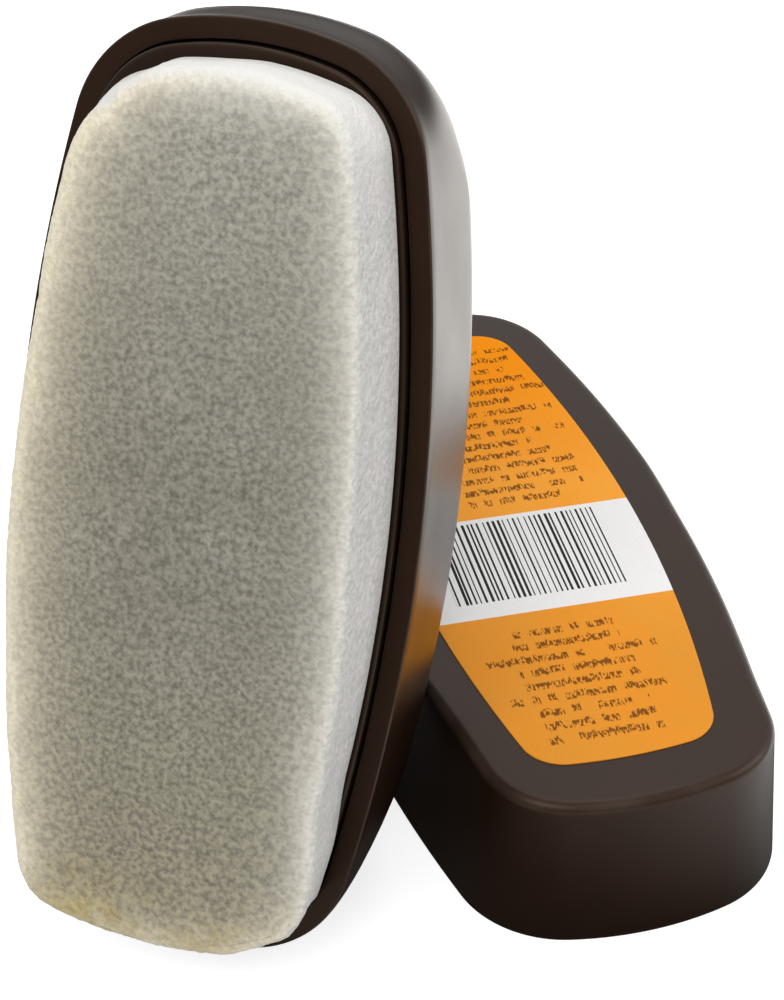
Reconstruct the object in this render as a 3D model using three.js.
// Shoe shine sponge: a holder with its sponge, leaning against its own lid, which lies panel up.
// Millimetres, +Z up, the lid's length along Y, and the floor at Z = 0.
import * as THREE from 'three';

// Plan shape that the lid, the holder and everything inside them share
const BODY_LENGTH = 131.4;
const BODY_WIDTH = 60;
const SIDE_RADIUS = 256;
const END_RADIUS = 51;
const CORNER_RADIUS = 17;

// Room left between pieces that seat on each other, and under the glued label
const FIT_GAP = 0.3;
const GLUE_GAP = 0.1;

// Lid, a drafted cap that is open at its rim
const LID_HEIGHT = 26;
const LID_WALL = 2;
const LID_PANEL = 1.8;
const LID_DRAFT = 2.4;
const LID_EDGE_RADIUS = 2;
const LID_INNER_RADIUS = 1.2;
const REBATE_DEPTH = 0.5;

// Label on the lid's panel, stuck on a little askew
const LABEL_TURN = THREE.MathUtils.degToRad(-0.9);
const LABEL_MARGIN = 10.2;
const LABEL_END_RADIUS = 70;
const LABEL_CORNER_RADIUS = 6.6;
const LABEL_THICKNESS = 0.2;

// Holder, the hand grip: a tray whose rim plane is its local Z = 0. Its wall stands proud of the plan
// by the rim's radius. Below a straight part it curves in to a flat back, by more at its ends
const HOLDER_DEPTH = 32.7;
const HOLDER_WALL = 2.4;
const HOLDER_BACK = 2.2;
const WALL_STRAIGHT = 2.2;
const GRIP_TAPER = 9.4;
const GRIP_END_TAPER = 15;
const GRIP_CORNER_GROWTH = 11;
const WELL_TAPER = 8;
const RIM_RADIUS = 0.7;
const LEDGE_DEPTH = 6;
const LEDGE_WIDTH = 1.2;

// Perforated carrier plate on the ledge, and the polish reservoir under it
const PLATE_THICKNESS = 1.4;
const DOSING_HOLE_RADIUS = 1.2;
const DOSING_PITCH = 10;
const DOSING_MARGIN = 12;

// Retaining frame, which clamps the sponge's skirt and stands up as the lid's spigot
const SPIGOT_RISE = 1.2;
const FRAME_WIDTH = 3.6;
const FRAME_LEG = 1.4;
const FRAME_RADIUS = 0.5;

// Sponge: a skirt under the frame, a neck through it, and a block that overhangs it. The block has its own
// plan and slightly slanting sides, and ends in a crowned working layer
const SKIRT_THICKNESS = 1.6;
const SPONGE_RISE = 15.5;
const SPONGE_SIDE_GAP = 3.3;
const SPONGE_END_GAP = 4.5;
const SPONGE_END_RADIUS = 52;
const SPONGE_CORNER_RADIUS = 10;
const SPONGE_FOOT_RADIUS = 1;
const SPONGE_SLANT = 1.5;
const SPONGE_EDGE_RADIUS = 1.8;
const FACE_LAYER = 4;
const FACE_CROWN = 0.8;

// How the holder leans: turned about the vertical, tilted back from flat, spun in its own plane,
// and set at one place along the lid
const HOLDER_YAW = THREE.MathUtils.degToRad(-38.4);
const HOLDER_TILT = THREE.MathUtils.degToRad(68.4);
const HOLDER_SPIN = THREE.MathUtils.degToRad(2);
const HOLDER_STATION = -29.8;

// Colours and roughness of the mouldings, the label and the foams
const CASE_LOOK = { color: 0x35281f, roughness: 0.42 };
const FRAME_LOOK = { color: 0x2f231b, roughness: 0.45 };
const PLATE_LOOK = { color: 0xb9b2a4, roughness: 0.6 };
const LABEL_LOOK = { color: 0xf4901e, roughness: 0.5 };
const FELT_LOOK = { color: 0xc9b48a, roughness: 0.9 };
const FOAM_LOOK = { color: 0xefece4, roughness: 0.95 };
const SOAKED_LOOK = { color: 0xb3aca0, roughness: 0.97 };

// Facets of a quarter of the plan, of a rounded edge, of the grip's long curve and of a dosing hole
const SIDE_STEPS = 4;
const CORNER_STEPS = 6;
const END_STEPS = 4;
const ROUND_STEPS = 5;
const GRIP_STEPS = 9;
const HOLE_STEPS = 6;

// Heights inside the holder, stacked from its ledge
const PLATE_BOTTOM = FIT_GAP - LEDGE_DEPTH;
const PLATE_TOP = PLATE_BOTTOM + PLATE_THICKNESS;
const SKIRT_BOTTOM = PLATE_TOP + FIT_GAP;
const SKIRT_TOP = SKIRT_BOTTOM + SKIRT_THICKNESS;
const SPONGE_FOOT = SPIGOT_RISE + FIT_GAP;
const SPONGE_SHOULDER = SPONGE_RISE - SPONGE_EDGE_RADIUS;
const FACE_BOTTOM = SPONGE_RISE - FACE_LAYER;
const WELL_BOTTOM = HOLDER_BACK - HOLDER_DEPTH;
const WELL_SHOULDER = PLATE_BOTTOM - LEDGE_WIDTH;
const GRIP_TOP = -RIM_RADIUS - WALL_STRAIGHT;

// Insets from the plan, worked inwards from the holder's wall
const FRAME_OUTER = HOLDER_WALL + FIT_GAP;
const FRAME_OPENING = FRAME_OUTER + FRAME_WIDTH;
const SKIRT_INSET = FRAME_OUTER + FRAME_LEG + FIT_GAP;
const NECK_INSET = FRAME_OPENING + FIT_GAP;
const LEDGE_INSET = HOLDER_WALL + LEDGE_WIDTH;

const BODY_PLAN = {
  halfLength: BODY_LENGTH / 2,
  halfWidth: BODY_WIDTH / 2,
  sideRadius: SIDE_RADIUS,
  endRadius: END_RADIUS,
  cornerRadius: CORNER_RADIUS,
};

const SPONGE_PLAN = {
  halfLength: BODY_PLAN.halfLength - SPONGE_END_GAP,
  halfWidth: BODY_PLAN.halfWidth - SPONGE_SIDE_GAP,
  sideRadius: SIDE_RADIUS,
  endRadius: SPONGE_END_RADIUS,
  cornerRadius: SPONGE_CORNER_RADIUS,
};

const LABEL_PLAN = {
  halfLength: BODY_PLAN.halfLength - LABEL_MARGIN,
  halfWidth: BODY_PLAN.halfWidth - LABEL_MARGIN,
  sideRadius: SIDE_RADIUS - LABEL_MARGIN,
  endRadius: LABEL_END_RADIUS,
  cornerRadius: LABEL_CORNER_RADIUS,
};

// The three arcs of the plan's first quarter, from the middle of a side to the middle of an end.
// The corner arc touches the two others from inside.
function quarterArcs(plan) {
  const side = new THREE.Vector2(plan.halfWidth - plan.sideRadius, 0);
  const end = new THREE.Vector2(0, plan.halfLength - plan.endRadius);
  const toSide = plan.sideRadius - plan.cornerRadius;
  const toEnd = plan.endRadius - plan.cornerRadius;
  const span = side.distanceTo(end);
  const along = (toSide ** 2 - toEnd ** 2 + span ** 2) / (2 * span);
  const across = Math.sqrt(toSide ** 2 - along ** 2);
  const way = end.clone().sub(side).normalize();
  const corner = new THREE.Vector2(
    side.x + along * way.x - across * way.y,
    side.y + along * way.y + across * way.x,
  );
  const leaveSide = corner.clone().sub(side).angle();
  const meetEnd = corner.clone().sub(end).angle();
  return [
    { centre: side, radius: plan.sideRadius, from: 0, to: leaveSide, steps: SIDE_STEPS },
    { centre: corner, radius: plan.cornerRadius, from: leaveSide, to: meetEnd, steps: CORNER_STEPS },
    { centre: end, radius: plan.endRadius, from: meetEnd, to: Math.PI / 2, steps: END_STEPS },
  ];
}

// Closed outline of a plan, drawn in by an inset, counter-clockwise from the middle of its right side
function outline(plan, inset, refine = 1) {
  const quarter = [];
  for (const arc of quarterArcs(plan)) {
    const steps = arc.steps * refine;
    for (let step = quarter.length ? 1 : 0; step <= steps; step += 1) {
      const angle = THREE.MathUtils.lerp(arc.from, arc.to, step / steps);
      const reach = arc.radius - inset;
      quarter.push([arc.centre.x + reach * Math.cos(angle), arc.centre.y + reach * Math.sin(angle)]);
    }
  }
  const there = quarter.slice(0, -1);
  const back = quarter.slice(1).reverse();
  return [
    ...there,
    ...back.map(([x, y]) => [-x, y]),
    ...there.map(([x, y]) => [-x, -y]),
    ...back.map(([x, y]) => [x, -y]),
  ];
}

// Solid swept round a plan through rings of [inset, z, scale, plan], where the last two may be left out.
// The path keeps the material on its left: up the outside and down the inside. An open path is capped
// at both ends, a closed one makes a frame.
function loft(plan, path, closed = false) {
  const rings = path.map(([inset, z, scale = 1, ownPlan = plan]) => outline(ownPlan, inset)
    .map(([x, y]) => [x * scale, y * scale, z]));
  const count = rings[0].length;
  const positions = rings.flat(2);
  const faces = [];
  const bands = closed ? rings.length : rings.length - 1;
  for (let band = 0; band < bands; band += 1) {
    const low = band * count;
    const high = ((band + 1) % rings.length) * count;
    for (let i = 0; i < count; i += 1) {
      const j = (i + 1) % count;
      faces.push(low + i, low + j, high + j, low + i, high + j, high + i);
    }
  }
  if (!closed) {
    const first = positions.length / 3;
    const top = (rings.length - 1) * count;
    positions.push(0, 0, path[0][1], 0, 0, path.at(-1)[1]);
    for (let i = 0; i < count; i += 1) {
      const j = (i + 1) % count;
      faces.push(first, j, i, top + i, top + j, first + 1);
    }
  }
  const geometry = new THREE.BufferGeometry();
  geometry.setAttribute('position', new THREE.Float32BufferAttribute(positions, 3));
  geometry.setIndex(faces);
  geometry.computeVertexNormals();
  return geometry;
}

// Rings of a rounded edge about a centre at [inset, z]; 0 degrees points outwards and 90 degrees up
function rounded(inset, z, width, height, from, to, steps = ROUND_STEPS) {
  const rings = [];
  for (let step = 0; step <= steps; step += 1) {
    const angle = THREE.MathUtils.degToRad(THREE.MathUtils.lerp(from, to, step / steps));
    rings.push([inset - width * Math.cos(angle), z + height * Math.sin(angle)]);
  }
  return rings;
}

function piece(name, geometry, look) {
  const mesh = new THREE.Mesh(geometry, new THREE.MeshStandardMaterial({ ...look, metalness: 0 }));
  mesh.name = name;
  return mesh;
}

function lidDraftAt(z) {
  return (LID_DRAFT * z) / LID_HEIGHT;
}

// The lid: ceiling, inner wall, the rebate for the holder's spigot, rim, outer wall, rounded edge and panel
function lidShell() {
  const ceiling = LID_HEIGHT - LID_PANEL;
  const innerTop = LID_WALL + lidDraftAt(ceiling) + LID_INNER_RADIUS;
  const rebateTop = SPIGOT_RISE + FIT_GAP;
  const rebateInset = LID_WALL + lidDraftAt(rebateTop) - REBATE_DEPTH;
  const shoulder = LID_HEIGHT - LID_EDGE_RADIUS;
  const path = [
    ...rounded(innerTop, ceiling - LID_INNER_RADIUS, LID_INNER_RADIUS, LID_INNER_RADIUS, 90, 0),
    [LID_WALL + lidDraftAt(rebateTop), rebateTop],
    [rebateInset, rebateTop],
    [rebateInset, 0],
    [0, 0],
    ...rounded(LID_DRAFT + LID_EDGE_RADIUS, shoulder, LID_EDGE_RADIUS, LID_EDGE_RADIUS, 0, 90),
  ];
  return piece('lid_shell', loft(BODY_PLAN, path), CASE_LOOK);
}

function lidLabel() {
  const under = LID_HEIGHT + GLUE_GAP;
  const path = [[0, under], [0, under + LABEL_THICKNESS]];
  return piece('lid_label', loft(LABEL_PLAN, path).rotateZ(LABEL_TURN), LABEL_LOOK);
}

// Plan of the holder at a height: towards its back the ends draw in further, and the corners widen
function gripPlanAt(z) {
  const climb = THREE.MathUtils.clamp((GRIP_TOP - z) / (HOLDER_DEPTH + GRIP_TOP), 0, 1);
  const share = 1 - Math.sqrt(1 - climb ** 2);
  return {
    ...BODY_PLAN,
    halfLength: BODY_PLAN.halfLength - GRIP_END_TAPER * share,
    cornerRadius: CORNER_RADIUS + GRIP_CORNER_GROWTH * share,
  };
}

function withGripPlan([inset, z]) {
  return [inset, z, 1, gripPlanAt(z)];
}

// Outside of the holder, from its back up to the rim
function holderOutside() {
  const grip = HOLDER_DEPTH + GRIP_TOP;
  return [
    ...rounded(GRIP_TAPER - RIM_RADIUS, GRIP_TOP, GRIP_TAPER, grip, -90, 0, GRIP_STEPS),
    ...rounded(0, -RIM_RADIUS, RIM_RADIUS, RIM_RADIUS, 0, 90),
  ].map(withGripPlan);
}

// Curved side of the reservoir's well, from its shoulder under the ledge to its floor, less a clearance
function wellSide(clearance, from, to) {
  const inset = LEDGE_INSET + WELL_TAPER + clearance;
  const height = WELL_SHOULDER - WELL_BOTTOM - clearance;
  return rounded(inset, WELL_SHOULDER, WELL_TAPER, height, from, to, GRIP_STEPS).map(withGripPlan);
}

// The holder: outside, rim, the wall round the frame, the ledge for the plate, and the reservoir's well
function holderShell() {
  const path = [
    ...holderOutside(),
    [HOLDER_WALL, 0],
    [HOLDER_WALL, -LEDGE_DEPTH],
    [LEDGE_INSET, -LEDGE_DEPTH],
    ...wellSide(0, 0, -90),
  ];
  return piece('holder_shell', loft(BODY_PLAN, path), CASE_LOOK);
}

function retainingFrame() {
  const clampHeight = SKIRT_TOP + FIT_GAP;
  const path = [
    [FRAME_OUTER, SKIRT_BOTTOM],
    ...rounded(FRAME_OUTER + FRAME_RADIUS, SPIGOT_RISE - FRAME_RADIUS, FRAME_RADIUS, FRAME_RADIUS, 0, 90),
    [FRAME_OPENING, SPIGOT_RISE],
    [FRAME_OPENING, clampHeight],
    [FRAME_OUTER + FRAME_LEG, clampHeight],
    [FRAME_OUTER + FRAME_LEG, SKIRT_BOTTOM],
  ];
  return piece('retaining_frame', loft(BODY_PLAN, path, true), FRAME_LOOK);
}

// The plate has as many dosing holes as its pitch and margin leave room for
function carrierPlate() {
  const edge = outline(BODY_PLAN, FRAME_OUTER).map(([x, y]) => new THREE.Vector2(x, y));
  const shape = new THREE.Shape(edge);
  const columns = Math.floor((BODY_PLAN.halfWidth - DOSING_MARGIN) / DOSING_PITCH);
  const rows = Math.floor((BODY_PLAN.halfLength - DOSING_MARGIN) / DOSING_PITCH);
  for (let column = -columns; column <= columns; column += 1) {
    for (let row = -rows; row <= rows; row += 1) {
      const hole = new THREE.Path();
      hole.absarc(column * DOSING_PITCH, row * DOSING_PITCH, DOSING_HOLE_RADIUS, 0, Math.PI * 2, true);
      shape.holes.push(hole);
    }
  }
  const options = { depth: PLATE_THICKNESS, bevelEnabled: false, curveSegments: HOLE_STEPS };
  const geometry = new THREE.ExtrudeGeometry(shape, options).translate(0, 0, PLATE_BOTTOM);
  return piece('carrier_plate', geometry, PLATE_LOOK);
}

function reservoirPad() {
  const path = [
    ...wellSide(FIT_GAP, -90, 0),
    [LEDGE_INSET + FIT_GAP, PLATE_BOTTOM - FIT_GAP],
  ];
  return piece('reservoir_pad', loft(BODY_PLAN, path), FELT_LOOK);
}

// How far in from its own plan the side of the sponge's block lies at a height
function spongeSlantAt(z) {
  const foot = SPONGE_FOOT + SPONGE_FOOT_RADIUS;
  return (SPONGE_SLANT * (z - foot)) / (SPONGE_SHOULDER - foot);
}

// The foam under the working layer: skirt, neck, the block's rounded foot on the frame, and its side
function spongeCore() {
  const radius = SPONGE_FOOT_RADIUS;
  const foot = rounded(radius, SPONGE_FOOT + radius, radius, radius, -90, 0);
  const top = FACE_BOTTOM - FIT_GAP;
  const path = [
    [SKIRT_INSET, SKIRT_BOTTOM],
    [SKIRT_INSET, SKIRT_TOP],
    [NECK_INSET, SKIRT_TOP],
    [NECK_INSET, SPONGE_FOOT],
    ...foot.map(([inset, z]) => [inset, z, 1, SPONGE_PLAN]),
    [spongeSlantAt(top), top, 1, SPONGE_PLAN],
  ];
  return piece('sponge_core', loft(BODY_PLAN, path), FOAM_LOOK);
}

// The working layer: side, rounded edge, then a low crown in rings that shrink towards the middle
function spongeFace() {
  const radius = SPONGE_EDGE_RADIUS;
  const flat = SPONGE_SLANT + radius;
  const path = [
    [spongeSlantAt(FACE_BOTTOM), FACE_BOTTOM],
    ...rounded(flat, SPONGE_SHOULDER, radius, radius, 0, 90),
  ];
  for (let step = 1; step < ROUND_STEPS; step += 1) {
    const scale = 1 - step / ROUND_STEPS;
    path.push([flat, SPONGE_RISE + FACE_CROWN * (1 - scale ** 2), scale]);
  }
  return piece('sponge_face', loft(SPONGE_PLAN, path), SOAKED_LOOK);
}

// Distance from a point to the lid's outer surface, less than zero inside it
function roomToLid(point) {
  const [side, corner, end] = quarterArcs(BODY_PLAN);
  const spot = new THREE.Vector2(Math.abs(point.x), Math.abs(point.y));
  const turn = spot.clone().sub(corner.centre).angle();
  const past = (arc) => spot.distanceTo(arc.centre) - arc.radius;
  const onCorner = turn > corner.from && turn < corner.to;
  const outside = onCorner ? past(corner) : Math.max(past(side), past(end));
  const across = outside + lidDraftAt(Math.min(point.z, LID_HEIGHT)) + LID_EDGE_RADIUS;
  const above = point.z - LID_HEIGHT + LID_EDGE_RADIUS;
  const round = Math.hypot(Math.max(across, 0), Math.max(above, 0));
  return round + Math.min(Math.max(across, above), 0) - LID_EDGE_RADIUS;
}

// The leaning holder stands on its lower end, and is slid along X until its back edge meets the lid
function leanHolder(group) {
  const refine = 12;
  const halvings = 40;
  const upright = new THREE.Vector3(0, 0, 1);
  const sideways = new THREE.Vector3(1, 0, 0);
  const turns = [[upright, HOLDER_YAW], [sideways, HOLDER_TILT], [upright, HOLDER_SPIN]];
  for (const [axis, angle] of turns) {
    group.quaternion.multiply(new THREE.Quaternion().setFromAxisAngle(axis, angle));
  }
  const skin = holderOutside().flatMap(([inset, z, , plan]) => outline(plan, inset, refine)
    .map(([x, y]) => new THREE.Vector3(x, y, z).applyQuaternion(group.quaternion)));
  const lowest = Math.min(...skin.map((point) => point.z));
  let clear = -BODY_LENGTH;
  let inside = 0;
  for (let i = 0; i < halvings; i += 1) {
    const middle = (clear + inside) / 2;
    const place = new THREE.Vector3(middle, HOLDER_STATION, -lowest);
    const room = Math.min(...skin.map((point) => roomToLid(point.clone().add(place))));
    if (room > FIT_GAP) clear = middle;
    else inside = middle;
  }
  group.position.set(clear, HOLDER_STATION, -lowest);
}

const lid = new THREE.Group();
lid.add(lidShell(), lidLabel());

const holder = new THREE.Group();
holder.add(holderShell(), reservoirPad(), carrierPlate(), retainingFrame(), spongeCore(), spongeFace());
leanHolder(holder);

// The origin is the middle of the whole set's footprint, on the floor
const shoeSponge = new THREE.Group();
shoeSponge.add(lid, holder);
shoeSponge.updateMatrixWorld(true);
const reach = new THREE.Box3().setFromObject(shoeSponge, true);
const middle = reach.getCenter(new THREE.Vector3());
shoeSponge.position.set(-middle.x, -middle.y, -reach.min.z);

export default shoeSponge;
